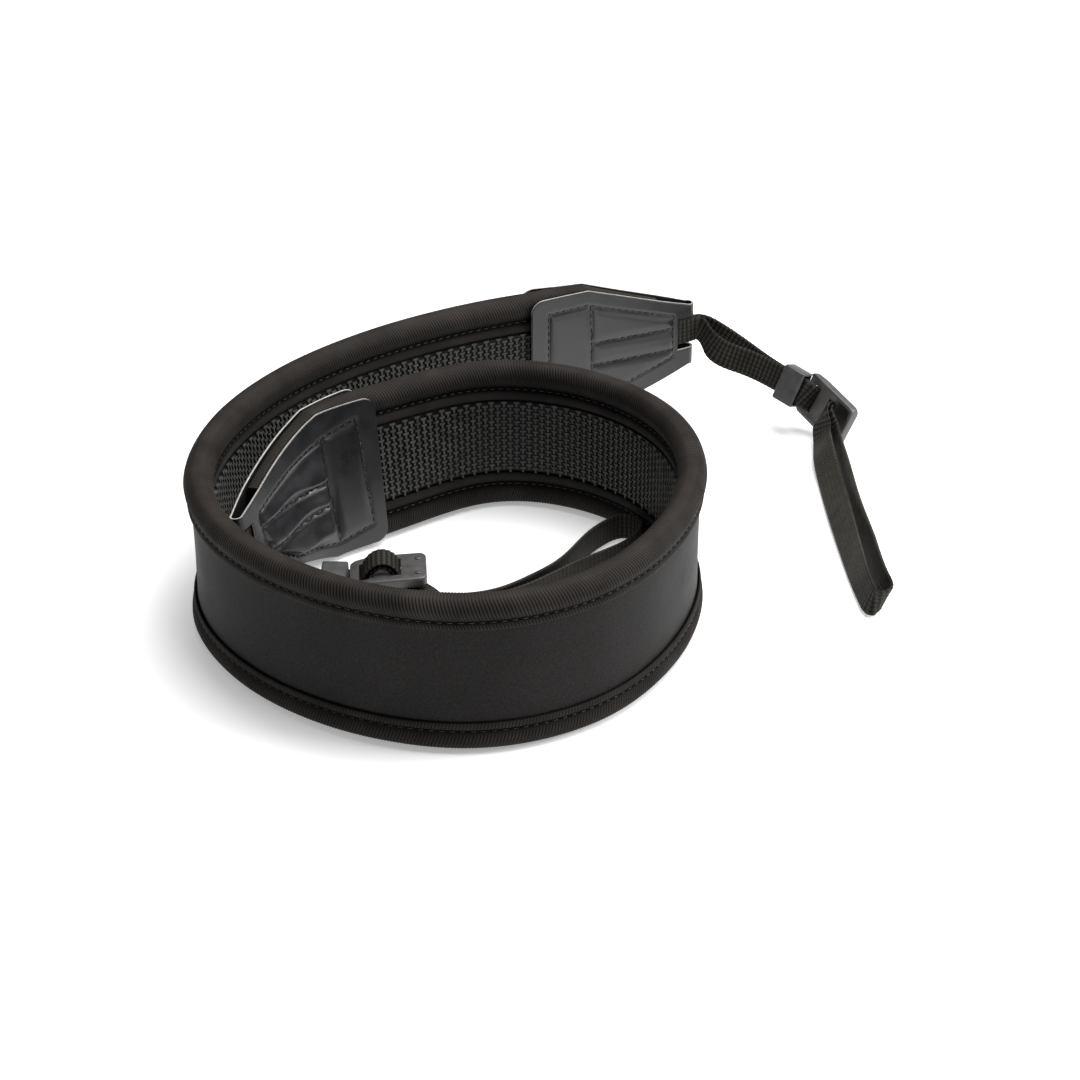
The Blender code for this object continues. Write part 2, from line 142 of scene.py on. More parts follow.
# The pad's centre line in plan, from the outer tab's tip round to the inner tab's tip: x, y.
ROUTE = (
    (83.6, 146.4), (46.0, 130.5), (6.0, 115.0), (-31.0, 93.0), (-62.0, 62.0), (-79.5, 26.0),
    (-80.5, -16.0), (-61.0, -50.0), (-28.0, -73.0), (12.0, -80.0), (48.0, -64.0), (68.0, -37.0),
    (78.0, -3.0), (71.0, 36.0), (44.0, 63.0), (10.0, 69.0), (-18.5, 55.0), (-46.3, 33.7),
    (-68.8, -9.4),
)
# How the pad is squeezed inside a tab.
SQUEEZE = (
    # from tip, share of the full thickness, half the space between the leather's flaps
    (0.0, 0.25, 1.3), (6.0, 0.25, 1.9), (12.0, 0.25, 2.3), (30.0, 0.32, 2.5), (42.0, 0.42, 2.8),
    (52.0, 0.62, 3.6), (60.0, 0.82, 4.6), (65.0, 0.92, 5.1), (72.0, 1.0, 5.4),
)
# A strand pair's way through a slider: along its length, above its underside.
SLIDER_APPROACH = {
    "outer": ((-7.1, -0.7),),
    "inner": ((-10.6, -0.9), (-8.8, 0.4)),
}
SLIDER_PASS = (
    (-7.5, 2.8), (-5.9, 5.4), (-2.4, 7.3), (1.2, 6.0), (2.7, 2.8), (2.9, 0.2), (3.7, -1.9),
)
# What is cut from a slider's underside. The last one, a pocket, is in the outer slider only.
SLIDER_CUTS = (
    # from, to, depth, width
    (-9.9, -4.9, 7.0, 10.5),
    (0.4, 4.35, 7.0, 10.5),
    (-14.0, -10.0, 1.6, 13.8),
    (4.5, 11.6, 2.2, 14.0),
)
# The fold's rounded core, seen from its end: along, height.
SLIDER_BAR = (
    (-6.1, 0.8), (-5.9, 2.6), (-4.7, 4.6), (-3.5, 5.7), (-2.4, 6.1), (-1.2, 5.9), (0.3, 4.9),
    (1.4, 2.6), (1.55, 0.8),
)
SLIDER_BAR_WIDTH = 9.4
# Where the plate's top starts and ends its slope to the narrow end: along, above.
SLIDER_SLOPE = ((-13.0, 1.7), (-4.0, 3.8))
# Each slider and keeper: its centre, the way the strap runs and the way its width points.
SLIDERS = {
    "outer": ((133.0, 114.0, 12.0), (0.52, -0.83, -0.21), (0.38, 0.0, 0.925)),
    "inner": ((-22.6, 9.3, 5.0), (0.99, 0.06, 0.05), (-0.06, -1.0, 0.0)),
}
KEEPERS = {
    "outer": ((122.0, 122.2, 17.6), (0.73, -0.67, -0.16), (0.39, 0.16, 0.91)),
    "inner": ((-41.2, 9.9, 3.5), (0.99, -0.03, 0.0), (0.0, -1.0, 0.0)),
}
# Both strands inside a tab and through its slot: distance from the tip, distance apart.
SLOT_LEAD = ((12.0, 1.6), (6.0, 1.7), (0.0, 2.0), (-5.0, 2.3))
# Both strands between tab and keeper: middle x, y, z, lean of the width in x and y, distance apart,
# and how far the near strand sags below the other.
LEADS = {
    "outer": (
        (94.0, 144.6, 25.4, 0.1, 0.25, 6.4, 2.6), (105.6, 137.4, 20.8, 0.25, 0.3, 6.0, 1.6),
    ),
    "inner": (
        (-71.6, -20.0, 23.0, 0.0, 0.0, 2.0, 0.0), (-67.0, -26.4, 16.5, 0.0, -0.1, 2.0, 0.0),
        (-60.6, -24.0, 11.0, 0.0, -0.2, 2.0, 0.0), (-56.8, -14.6, 7.2, 0.2, -0.3, 2.0, 0.0),
        (-55.6, -4.0, 5.4, 0.4, -0.5, 1.9, 0.0), (-53.8, 5.0, 4.2, 0.4, -0.8, 1.7, 0.0),
        (-49.6, 9.6, 3.5, 0.1, -0.99, 1.6, 0.0),
    ),
}
# The lug loop, down one strand, round its end and back: x, y, z, any lean of the width in x and y.
LOOPS = {
    "outer": (
        (132.0, 105.0, 8.0, 0.5), (131.6, 93.8, 6.2, 0.66), (132.4, 81.2, 4.4, 0.75),
        (133.7, 57.7, 4.2, 0.75), (135.0, 33.0, 4.5, 0.61), (136.5, 10.0, 4.9, 0.46),
        (137.6, -1.0, 5.1, 0.4), (140.2, -6.8, 5.1, 0.4), (143.0, -5.2, 5.1, 0.4),
        (143.9, 3.0, 5.2, 0.35), (141.9, 26.0, 5.3, 0.3), (139.6, 52.0, 5.3, 0.25),
        (138.0, 80.0, 5.7, 0.25), (137.0, 92.0, 6.3, 0.25), (135.4, 103.0, 8.0, 0.3),
    ),
    "inner": (
        (-16.6, 6.4, 1.4, -0.5, -0.866), (-11.6, -0.6, 2.6, -0.65, -0.7),
        (-4.0, -7.6, 4.5, -0.4, -0.5), (8.0, -10.1, 5.3, -0.1, -0.15), (26.0, -1.6, 5.2),
        (42.0, 12.4, 5.2), (55.0, 22.4, 5.2), (61.6, 30.4, 5.2), (63.0, 38.0, 5.2),
        (58.6, 42.0, 5.2), (50.6, 37.6, 5.2), (43.6, 28.0, 5.2), (35.0, 12.8, 5.2),
        (25.0, 2.4, 5.2), (9.4, -7.0, 5.3, -0.1, -0.15), (-2.2, -5.2, 5.3, -0.4, -0.5),
        (-9.6, 1.0, 4.3, -0.65, -0.7), (-15.4, 7.2, 2.95, -0.5, -0.866),
    ),
}
# The row of each loop where it turns back.
LOOP_TURNS = {"outer": 7, "inner": 8}

# Half of a binding's section at full thickness, on each face: out, up from the edge, share of the
# ribs' depth, and painted shade: the groove under the roll and the lip are painted darker. It starts on
# the roll's first points and ends at the slot for the pad.
BINDING_OUTER = (
    (1.3, 0.0, 0.5, 0.0), (2.6, 0.45, 1.0, 0.0), (3.75, 1.35, 1.0, 0.0), (4.55, 2.5, 1.0, 0.0),
    (4.92, 3.7, 1.0, 0.0), (4.8, 4.9, 1.0, 0.05), (4.4, 6.0, 1.0, 0.25), (3.95, 6.8, 0.6, 0.6),
    (3.5, 7.3, 0.0, 1.0), (3.5, 7.8, 0.0, 1.0), (3.95, 8.2, 0.6, 0.2), (4.15, 8.8, 1.0, 0.1),
    (4.15, 9.6, 1.0, 0.1), (3.9, 10.3, 0.6, 0.3), (3.3, 10.6, 0.0, 1.0), (3.3, 6.0, 0.0, 1.0),
)
BINDING_INNER = (
    (1.3, 0.0, 0.5, 0.0), (2.6, 0.45, 1.0, 0.0), (3.75, 1.35, 1.0, 0.0), (4.55, 2.6, 1.0, 0.0),
    (4.95, 4.0, 1.0, 0.0), (4.8, 5.2, 1.0, 0.1), (4.4, 6.3, 0.8, 0.4), (3.9, 7.2, 0.4, 0.8),
    (3.45, 8.0, 0.0, 1.0), (3.45, 9.4, 0.0, 1.0), (3.95, 10.0, 0.1, 0.6), (4.12, 10.8, 0.1, 0.35),
    (4.15, 11.8, 0.1, 0.35), (3.95, 12.7, 0.1, 0.5), (3.3, 13.4, 0.0, 1.0), (3.3, 6.0, 0.0, 1.0),
)
ROLL_POINTS = 8
SQUARED_POINTS = 5
# How far up from the edge the stitches run, on the outer and the inner face.
STITCH_UP = {1: 7.5, -1: 8.7}

# Stitched lines on the tabs' flaps: from the flap's end, up from mid-height.
SEAMS = {
    "outer": (
        ((7.0, -20.5), (7.0, 20.5), (23.0, 21.0), (28.5, 19.0), (53.5, 11.0), (58.0, 9.5),
         (58.0, 4.4), (58.0, -4.5), (58.0, -7.5), (40.0, -14.0), (24.0, -20.6), (7.0, -20.5)),
        ((24.0, 20.8), (24.5, 5.0), (24.5, -4.0), (24.0, -20.6)),
        ((24.5, 5.0), (58.0, 4.4)),
        ((24.5, -4.0), (58.0, -4.5)),
    ),
    "inner": (
        ((5.5, -19.5), (6.8, 0.0), (8.0, 20.5), (22.5, 17.5), (26.5, 16.5), (61.5, 9.0),
         (62.0, 3.5), (60.0, -3.0), (60.0, -8.0), (44.0, -17.5), (20.5, -22.3), (5.5, -19.5)),
        ((22.5, 17.5), (22.5, 1.0), (22.0, -7.5), (20.5, -22.3)),
        ((22.5, 1.0), (61.0, 3.2)),
        ((22.0, -7.5), (58.0, -8.0)),
    ),
}
# The padded panels between the stitched lines.
PANELS = {
    "outer": (
        ((7.0, -20.5), (7.0, 20.5), (24.0, 20.8), (24.5, 5.0), (24.5, -4.0), (24.0, -20.6)),
        ((24.0, 20.8), (28.5, 19.0), (53.5, 11.0), (58.0, 9.5), (58.0, 4.4), (24.5, 5.0)),
        ((24.5, 5.0), (58.0, 4.4), (58.0, -4.5), (24.5, -4.0)),
        ((24.5, -4.0), (58.0, -4.5), (58.0, -7.5), (40.0, -14.0), (24.0, -20.6)),
    ),
    "inner": (
        ((5.5, -19.5), (6.8, 0.0), (8.0, 20.5), (22.5, 17.5), (22.5, 1.0), (22.0, -7.5),
         (20.5, -22.3)),
        ((22.5, 17.5), (26.5, 16.5), (61.5, 9.0), (62.0, 3.2), (22.5, 1.0)),
        ((22.5, 1.0), (62.0, 3.2), (60.0, -8.0), (22.0, -7.5)),
        ((22.0, -7.5), (60.0, -8.0), (44.0, -17.5), (20.5, -22.3)),
    ),
}
PUFF = {"outer": 0.5, "inner": 0.8}
PUFF_REACH = 3.4

# The inner tab's three narrow panels sag into folds between these lines, from the flap's end, up.
FOLD_LINES = (
    ((22.5, 26.5, 61.5), (17.5, 16.5, 9.0)),
    ((22.5, 62.0), (1.0, 3.2)),
    ((22.0, 60.0), (-7.5, -8.0)),
    ((20.5, 44.0, 60.0), (-22.3, -17.5, -8.0)),
)
# A fold's height as a share of its panel's, where its crest lies, and the flat puff under it.
FOLD_SHARE = 0.15
FOLD_CREST = 0.76
FOLD_PUFF = 0.25
# How much of the relief the inner tab's hidden flap has.
HIDDEN_RELIEF = 0.6


def natural_spline(knots, rows, wanted):
    """Values of a natural cubic spline through rows, one at each knot, at the wanted places."""
    knots = np.asarray(knots, float)
    rows = np.asarray(rows, float)
    steps = np.diff(knots)
    slopes = np.diff(rows, axis=0) / steps[:, None]
    count = len(knots)
    system = np.eye(count)
    right = np.zeros_like(rows)
    for i in range(1, count - 1):
        system[i, i - 1] = steps[i - 1]
        system[i, i] = 2.0 * (steps[i - 1] + steps[i])
        system[i, i + 1] = steps[i]
        right[i] = 6.0 * (slopes[i] - slopes[i - 1])
    bend = np.linalg.solve(system, right)
    wanted = np.asarray(wanted, float)
    k = np.clip(np.searchsorted(knots, wanted, side="right") - 1, 0, count - 2)
    back = (wanted - knots[k])[:, None]
    ahead = (knots[k + 1] - wanted)[:, None]
    step = steps[k][:, None]
    return (
        bend[k] * ahead**3 / (6.0 * step)
        + bend[k + 1] * back**3 / (6.0 * step)
        + (rows[k] / step - bend[k] * step / 6.0) * ahead
        + (rows[k + 1] / step - bend[k + 1] * step / 6.0) * back
    )


def chord_knots(points):
    """The length along a line at each of its points."""
    return np.concatenate([[0.0], np.cumsum(np.linalg.norm(np.diff(points, axis=0), axis=1))])


def unit(ways):
    return ways / np.linalg.norm(ways, axis=-1, keepdims=True)


def smooth_share(x):
    """From 0 to 1 with level ends."""
    x = np.clip(x, 0.0, 1.0)
    return x * x * (3.0 - 2.0 * x)


class Route:
    """The pad's centre line by its length; points beside it come as arrays."""

    def __init__(self, points):
        points = np.array(points, float)
        knots = chord_knots(points)
        self.points = natural_spline(knots, points, np.linspace(0.0, knots[-1], 3000))
        self.at = chord_knots(self.points)
        self.length = self.at[-1]

    def place(self, s):
        """The plan point at a length."""
        return np.stack([np.interp(s, self.at, self.points[:, k]) for k in (0, 1)], -1)

    def outward(self, s):
        """The plan direction of the pad's outer face."""
        way = self.place(np.minimum(s + 0.5, self.length)) - self.place(np.maximum(s - 0.5, 0.0))
        way = unit(way)
        return np.stack([way[..., 1], -way[..., 0]], -1)

    def point(self, s, out, z, past=0.0):
        """A point at a length, out from the middle, up from the floor and past the line's end."""
        s, out, z, past = np.broadcast_arrays(*(np.asarray(v, float) for v in (s, out, z, past)))
        near, far = LEAN_FROM_TIP
        lean = math.radians(LEAN) * smooth_share((far - (self.length - s)) / (far - near))
        rise = z - PAD_HEIGHT / 2
        across = out * np.cos(lean) + rise * np.sin(lean)
        height = PAD_HEIGHT / 2 + rise * np.cos(lean) - out * np.sin(lean)
        away = self.outward(s)
        onward = np.stack([-away[..., 1], away[..., 0]], -1)
        flat = self.place(s) + across[..., None] * away + past[..., None] * onward
        return np.concatenate([flat, height[..., None]], -1)


def squeeze(from_tip):
    """Share of the full thickness, and half the space between the flaps."""
    rows = np.array(SQUEEZE)
    return np.interp(from_tip, rows[:, 0], rows[:, 1]), np.interp(from_tip, rows[:, 0], rows[:, 2])


def taper(from_tip, full, inset, length):
    """Lowest and highest edge of an end that narrows towards its tip."""
    share = np.minimum(from_tip / length, 1.0)
    half = TAB_TIP_HEIGHT / 2 + (full - TAB_TIP_HEIGHT) / 2 * share - inset
    return PAD_HEIGHT / 2 - half, PAD_HEIGHT / 2 + half


def pad_section(route, s):
    """Lowest edge, highest edge and share of the full thickness at stations of the pad."""
    from_tip = np.minimum(s, route.length - s)
    length = np.where(s < route.length / 2, TAB_TAPERS["outer"], TAB_TAPERS["inner"])
    inset = TAB_MARGIN * (1.0 - np.clip((from_tip / length - 0.9) / 0.25, 0.0, 1.0))
    low, high = taper(from_tip, PAD_HEIGHT, inset, length)
    return low, high, squeeze(from_tip)[0]


def new_object(name, data):
    made = bpy.data.objects.new(name, data)
    bpy.context.scene.collection.objects.link(made)
    return made


def put_mesh(name, points, faces, looks, chosen=None, depth=None, sharp=None, weave=None):
    """A mesh object from points in the tables' frame, with the numbers that its look reads."""
    mesh = bpy.data.meshes.new(name)
    mesh.from_pydata(((points - MIDDLE) * MM).tolist(), [], faces)
    for look in looks:
        mesh.materials.append(look)
    if chosen is not None:
        mesh.polygons.foreach_set("material_index", np.asarray(chosen, np.int32))
    given = (("depth", "FLOAT", "value", depth), ("weave", "FLOAT_VECTOR", "vector", weave))
    for key, kind, field, values in given:
        if values is not None:
            kept = mesh.attributes.new(key, kind, "POINT")
            kept.data.foreach_set(field, np.asarray(values, np.float32).ravel())
    mesh.shade_smooth()
    if sharp is not None:
        mesh.set_sharp_from_angle(angle=math.radians(sharp))
    return new_object(name, mesh)


def loft(name, rings, looks, chosen=None, depth=None, sharp=None, weave=None):
    """A closed body through rings, shaped (rings, points, 3); chosen gives a look for each column."""
    count, size = rings.shape[:2]
    base = np.arange(count - 1)[:, None] * size
    column = np.arange(size)
    after = (column + 1) % size
    quads = np.stack([base + column, base + after, base + size + after, base + size + column], -1)
    quads = quads.reshape(-1, 4)
    points = rings.reshape(-1, 3)
    middle = points.mean(axis=0)
    a, b, c, d = (points[quads[:, i]] - middle for i in range(4))
    volume = (a * np.cross(b, c)).sum() + (a * np.cross(c, d)).sum()
    first, last = list(range(size))[::-1], [(count - 1) * size + i for i in range(size)]
    if volume < 0:
        quads, first, last = quads[:, ::-1], first[::-1], last[::-1]
    faces = quads.tolist() + [first, last]
    picked = None
    if chosen is not None:
        picked = np.concatenate([np.tile(chosen, count - 1), [max(chosen)] * 2])
    return put_mesh(name, points, faces, looks, picked, depth, sharp, weave)


def settle(made, sharp):
    """Leaves the piece as the mesh that its modifiers make."""
    graph = bpy.context.evaluated_depsgraph_get()
    mesh = bpy.data.meshes.new_from_object(made.evaluated_get(graph))
    made.modifiers.clear()
    made.data = mesh
    mesh.shade_smooth()
    mesh.set_sharp_from_angle(angle=math.radians(sharp))
    return made


def box_at(name, centre, axes, sizes, look):
    """A box with its own axes, centred on a point of the tables' frame."""
    mesh = bpy.data.meshes.new(name)
    shape = bmesh.new()
    bmesh.ops.create_cube(shape, size=1.0)
    bmesh.ops.scale(shape, vec=Vector(sizes) * MM, verts=shape.verts)
    shape.to_mesh(mesh)
    shape.free()
    mesh.materials.append(look)
    made = new_object(name, mesh)
    turn = Matrix([Vector(axis) for axis in axes]).transposed().to_4x4()
    made.matrix_world = Matrix.Translation(Vector((np.array(centre) - MIDDLE) * MM)) @ turn
    return made


def bevel(made, name, width, segments, degrees):
    modifier = made.modifiers.new(name, "BEVEL")
    modifier.width = width * MM
    modifier.segments = segments
    modifier.limit_method = "ANGLE"
    modifier.angle_limit = math.radians(degrees)


def soften(made):
    """Small rounds on the edges that the cuts left."""
    bevel(made, "soft", 0.18, 2, 60)
    return settle(made, 40)


def cut(target, cutters, sharp):
    """Takes the cutters out of a piece, and gives the cut faces the cutters' look."""
    for cutter in cutters:
        modifier = target.modifiers.new(cutter.name, "BOOLEAN")
        modifier.operation = "DIFFERENCE"
        modifier.solver = "EXACT"
        modifier.material_mode = "TRANSFER"
        modifier.object = cutter
    settle(target, sharp)
    for cutter in cutters:
        bpy.data.objects.remove(cutter, do_unlink=True)


# Materials

def grey(level):
    return (level, level, level)


class Look:
    """A node material round one Principled shader, with short ways to add nodes."""

    def __init__(self, name, roughness, specular=0.5):
        self.material = bpy.data.materials.new(name)
        self.material.use_nodes = True
        self.nodes = self.material.node_tree.nodes
        self.links = self.material.node_tree.links
        self.shader = self.nodes["Principled BSDF"]
        self.shader.inputs["Roughness"].default_value = roughness
        self.shader.inputs["Specular IOR Level"].default_value = specular
        self.place = self.nodes.new("ShaderNodeTexCoord").outputs["Object"]

    def add(self, kind, inputs=(), **settings):
        made = self.nodes.new(kind)
        for key, value in settings.items():
            setattr(made, key, value)
        for key, value in dict(inputs).items():
            if isinstance(value, bpy.types.NodeSocket):
                self.links.new(value, made.inputs[key])
            else:
                made.inputs[key].default_value = value
        return made

    def noise(self, size, detail=2.0):
        """Noise whose features are about this many millimetres across."""
        given = {"Vector": self.place, "Scale": 1.0 / (size * MM), "Detail": detail}
        return self.add("ShaderNodeTexNoise", given).outputs["Fac"]

    def ramp(self, value, stops):
        made = self.add("ShaderNodeValToRGB", {"Fac": value})
        ramp = made.color_ramp
        while len(ramp.elements) < len(stops):
            ramp.elements.new(0.5)
        for element, (at, color) in zip(ramp.elements, stops):
            element.position = at
            element.color = (*color, 1.0)
        return made.outputs["Color"]

    def mix(self, kind, amount, a, b):
        made = self.add("ShaderNodeMix", {0: amount, 6: a, 7: b}, data_type="RGBA", blend_type=kind)
        return made.outputs[2]

    # The depth attribute carries each mesh's painted shade and painted highlight.
    def depth(self):
        return self.add("ShaderNodeAttribute", attribute_name="depth").outputs["Fac"]

    def color(self, socket):
        self.links.new(socket, self.shader.inputs["Base Color"])

    def rough(self, value, low, high):
        made = self.add("ShaderNodeMapRange", {"Value": value, 1: 0.3, 2: 0.7, 3: low, 4: high})
        self.links.new(made.outputs[0], self.shader.inputs["Roughness"])

    def bump(self, *layers):
        """Each layer: height, strength, depth in millimetres."""
        last = None
        for height, strength, deep in layers:
            given = {"Height": height, "Strength": strength, "Distance": deep * MM}
            if last is not None:
                given["Normal"] = last
            last = self.add("ShaderNodeBump", given).outputs["Normal"]
        self.links.new(last, self.shader.inputs["Normal"])


def neoprene_look():
    look = Look("neoprene_face", 0.6, specular=0.05)
    cloud = look.noise(24.0, 3.0)
    knit = look.noise(0.55, 1.0)
    tone = look.ramp(cloud, ((0.3, (0.0145, 0.0136, 0.0132)), (0.75, (0.0215, 0.0201, 0.0197))))
    speck = look.ramp(knit, ((0.35, grey(0.75)), (0.7, grey(1.2))))
    look.color(look.mix("MULTIPLY", 1.0, tone, speck))
    look.rough(cloud, 0.44, 0.56)
    look.bump((knit, 0.3, 0.1), (look.noise(9.0, 2.0), 0.25, 0.5))
    return look.material


def tape_look():
    look = Look("binding_tape", 0.6, specular=0.06)
    tone = look.ramp(look.noise(12.0, 4.0), ((0.3, (0.0135, 0.0116, 0.0105)), (0.75, (0.025, 0.022, 0.020))))
    # Painted shade from the depth attribute: rib crests lifted; rib valleys, the groove and the lip
    # darkened.
    shade = look.ramp(look.depth(), ((0.0, grey(1.5)), (1.0, grey(0.07))))
    look.color(look.mix("MULTIPLY", 1.0, tone, shade))
    yarn = look.noise(0.3, 2.0)
    look.rough(yarn, 0.5, 0.7)
    look.bump((yarn, 0.3, 0.08),)
    return look.material


def grip_look():
    look = Look("grip_sheet", 0.5, specular=0.2)
    cloud = look.noise(4.0, 3.0)
    # Painted shade from the depth attribute: the base sheet between the blocks near black, each block darker
    # at its foot and lightest on its top.
    shade = look.ramp(look.depth(), ((0.0, grey(0.002)), (1.0, (0.060, 0.060, 0.055))))
    wear = look.ramp(cloud, ((0.3, grey(0.55)), (0.75, grey(1.3))))
    look.color(look.mix("MULTIPLY", 1.0, shade, wear))
    look.rough(cloud, 0.42, 0.6)
    look.bump((look.noise(0.35, 2.0), 0.3, 0.08),)
    return look.material


def leather_look():
    look = Look("tab_leather", 0.32, specular=0.55)
    cells = {"Vector": look.place, "Scale": 1.0 / (0.75 * MM)}
    grain = look.add("ShaderNodeTexVoronoi", cells, feature="DISTANCE_TO_EDGE").outputs["Distance"]
    cloud = look.noise(8.0, 4.0)
    tone = look.ramp(cloud, ((0.3, (0.0070, 0.0071, 0.0080)), (0.75, (0.0125, 0.0127, 0.0145))))
    look.color(tone)
    look.rough(cloud, 0.26, 0.38)
    look.bump((grain, 0.15, 0.1), (look.noise(0.4, 3.0), 0.15, 0.05), (cloud, 0.3, 0.35))
    return look.material


def cut_edge_look():
    look = Look("tab_cut_edge", 0.6)
    pale = look.ramp(look.noise(1.2, 3.0), ((0.3, (0.30, 0.28, 0.25)), (0.75, (0.56, 0.53, 0.49))))
    look.color(pale)
    look.bump((look.noise(0.3, 2.0), 0.3, 0.06),)
    return look.material


def thread_look(name, high):
    look = Look(name, 0.35, specular=0.4)
    # Light specks painted into the thread's colour stand in for glints on the glossy thread; high sets how
    # bright they are.
    look.color(look.ramp(look.noise(0.9, 3.0), ((0.45, grey(0.004)), (0.72, grey(high)))))
    look.bump((look.noise(0.18, 2.0), 0.5, 0.06),)
    return look.material


def webbing_look():
    look = Look("webbing", 0.65, specular=0.15)
    tone = look.ramp(look.noise(5.0, 4.0), ((0.3, (0.025, 0.0225, 0.018)), (0.75, (0.041, 0.037, 0.031))))
    # Painted shade and painted highlight from the depth attribute: the weave's hollows darkened, the
    # knuckles lighter, the edges lightest.
    shade = look.ramp(look.depth(), ((0.0, grey(2.3)), (0.15, grey(1.35)), (0.87, grey(0.05))))
    look.color(look.mix("MULTIPLY", 1.0, tone, shade))
    laid = look.add("ShaderNodeAttribute", attribute_name="weave").outputs["Vector"]
    slant = (0.0, 0.0, math.radians(38.0))
    slanted = look.add("ShaderNodeMapping", {"Vector": laid, "Rotation": slant}).outputs[0]
    lines = {"Vector": slanted, "Scale": 0.36, "Distortion": 0.4}
    twill = look.add("ShaderNodeTexWave", lines).outputs["Fac"]
    look.bump((twill, 0.5, 0.12), (look.noise(0.25, 2.0), 0.4, 0.08))
    return look.material


def plastic_look(name, low, high, roughness):
    look = Look(name, roughness)
    cloud = look.noise(3.0, 3.0)
    look.color(look.ramp(cloud, ((0.3, low), (0.75, high))))
    look.rough(cloud, roughness - 0.04, roughness + 0.08)
    look.bump((look.noise(0.25, 2.0), 0.15, 0.04),)
    return look.material


# The pad, its bindings and its lining

def build_pad(route, look):
    """The foam between the bindings: a slightly hollow, slightly wavy outer face and a plain inner one."""
    s = np.linspace(PAD_START, route.length - PAD_START, 300)[:, None]
    low, high, share = pad_section(route, s)
    bottom, top = low + CORE_EDGE, high - CORE_EDGE
    t = np.linspace(0.0, 1.0, 17)[None, :]
    hollow = FACE_HOLLOW * np.sin(math.pi * t) ** 0.6
    wave = 0.07 * np.sin(s / 11.0 + 2.0 * t) * np.sin(math.pi * t) + 0.05 * np.sin(s / 4.7 + 5.0 * t)
    out = (CORE_HALF - hollow + wave * np.sin(math.pi * t)) * share
    outer = route.point(s, out, bottom + (top - bottom) * t)
    u = np.linspace(1.0, 0.0, 7)[None, :]
    inner = route.point(s, -CORE_HALF * share, bottom + (top - bottom) * u)
    return loft("pad_face", np.concatenate([outer, inner], 1), [look], sharp=50)


def binding_half(route, s, side, face, slot, roll):
    """One face's points and painted shade, from the edge round to the slot's wall."""
    from_tip = np.minimum(s, route.length - s)
    low, high, share = pad_section(route, s)
    profile = np.array(BINDING_OUTER if face > 0 else BINDING_INNER)
    index = np.arange(len(profile))
    reach = np.minimum(profile[:, 0] / ROLL_HALF, 1.0)
    square = ROLL_HALF * (1.0 - (1.0 - reach) ** PRESSED_POWER)
    pressed = smooth_share((PRESSED_FROM_TIP - from_tip) / 12.0)
    wide = profile[:, 0] + (square - profile[:, 0]) * pressed * (index < SQUARED_POINTS)
    out = np.where(index < ROLL_POINTS, wide * roll, slot + profile[:, 0] - (CORE_HALF + FIT_GAP))
    up = profile[:, 1] * np.where(index < SQUARED_POINTS, 0.1 + 0.9 * share, 1.0)
    wobble = 0.1 * np.sin(s / 17.0 + 1.3 + side) + 0.07 * np.sin(s / 6.3 + side)
    out = out + wobble * share * np.exp(-((up - 4.5) / 3.5) ** 2)
    way = unit(np.gradient(profile[:, :2], axis=0))
    valley = (np.arange(len(s)) % 3 == 0).astype(float)[:, None]
    ribs = RIB_DEPTH * valley * profile[:, 2]
    out = out - ribs * way[:, 1]
    up = up + ribs * way[:, 0]
    slant = RIB_SLANT * np.maximum(chord_knots(profile[:, :2]) - 1.0, 0.0)
    slant = slant * np.minimum(from_tip / 20.0, 1.0)
    at = np.clip(s + face * slant, PAD_START, route.length - PAD_START)
    edge = low if side < 0 else high
    # Painted shade: each rib's valley and the table's shade column darken the tape's colour.
    shade = np.maximum(valley * profile[:, 2], profile[:, 3])
    return route.point(at, face * out, edge - side * up), shade


def build_binding(route, side, look):
    """The ribbed tape over one long edge, with three stations to a rib; side is 1 at the top."""
    ribs = round((route.length - 2 * PAD_START) / RIB_PITCH)
    s = np.linspace(PAD_START, route.length - PAD_START, 3 * ribs + 1)[:, None]
    from_tip = np.minimum(s, route.length - s)
    share = pad_section(route, s)[2]
    slot = CORE_HALF * share + FIT_GAP
    pressed = squeeze(from_tip)[1] - PRESSED_GAP
    roll = np.where(from_tip < PRESSED_FROM_TIP, pressed, ROLL_HALF * share) / ROLL_HALF
    roll = np.maximum(roll, (slot + 0.9) / ROLL_HALF)
    outer, outer_shade = binding_half(route, s, side, 1, slot, roll)
    inner, inner_shade = binding_half(route, s, side, -1, slot, roll)
    # The painted shade of both faces, carried to the look as the depth attribute.
    depth = np.concatenate([outer_shade, inner_shade[:, ::-1]], 1)
    name = "binding_skin_bottom" if side < 0 else "binding_skin_top"
    return loft(name, np.concatenate([outer, inner[:, ::-1]], 1), [look], depth=depth)


def stitch_row(centres, ways, ups, size):
    """Small pointed lozenges, one for each centre: points and faces."""
    length, width, thick = size
    sides = np.cross(ways, ups)
    shape = np.array((
        (-1, 0, 0), (-0.55, 0.8, 0.5), (-0.55, -0.8, 0.5), (0.55, 1, 0.7), (0.55, -1, 0.7),
        (1, 0, 0), (0, 0, 1), (-0.3, 0, -1), (0.3, 0, -1),
    ), float)
    points = (centres[:, None] + shape[None, :, :1] * ways[:, None] * length / 2
              + shape[None, :, 1:2] * sides[:, None] * width / 2
              + shape[None, :, 2:] * ups[:, None] * thick / 2)
    fan = (
        (0, 1, 6, 2), (1, 3, 6), (2, 6, 4), (3, 5, 6), (5, 4, 6), (0, 7, 1), (0, 2, 7),
        (1, 7, 8, 3), (2, 4, 8, 7), (3, 8, 5), (4, 5, 8),
    )
    faces = [[9 * i + k for k in face] for i in range(len(centres)) for face in fan]
    return points.reshape(-1, 3), faces


def put_joined(name, parts, look):
    """One mesh object from several lots of points and faces."""
    all_points, all_faces, start = [], [], 0
    for points, faces in parts:
        all_faces += [[k + start for k in face] for face in faces]
        all_points.append(points)
        start += len(points)
    return put_mesh(name, np.concatenate(all_points), all_faces, [look])


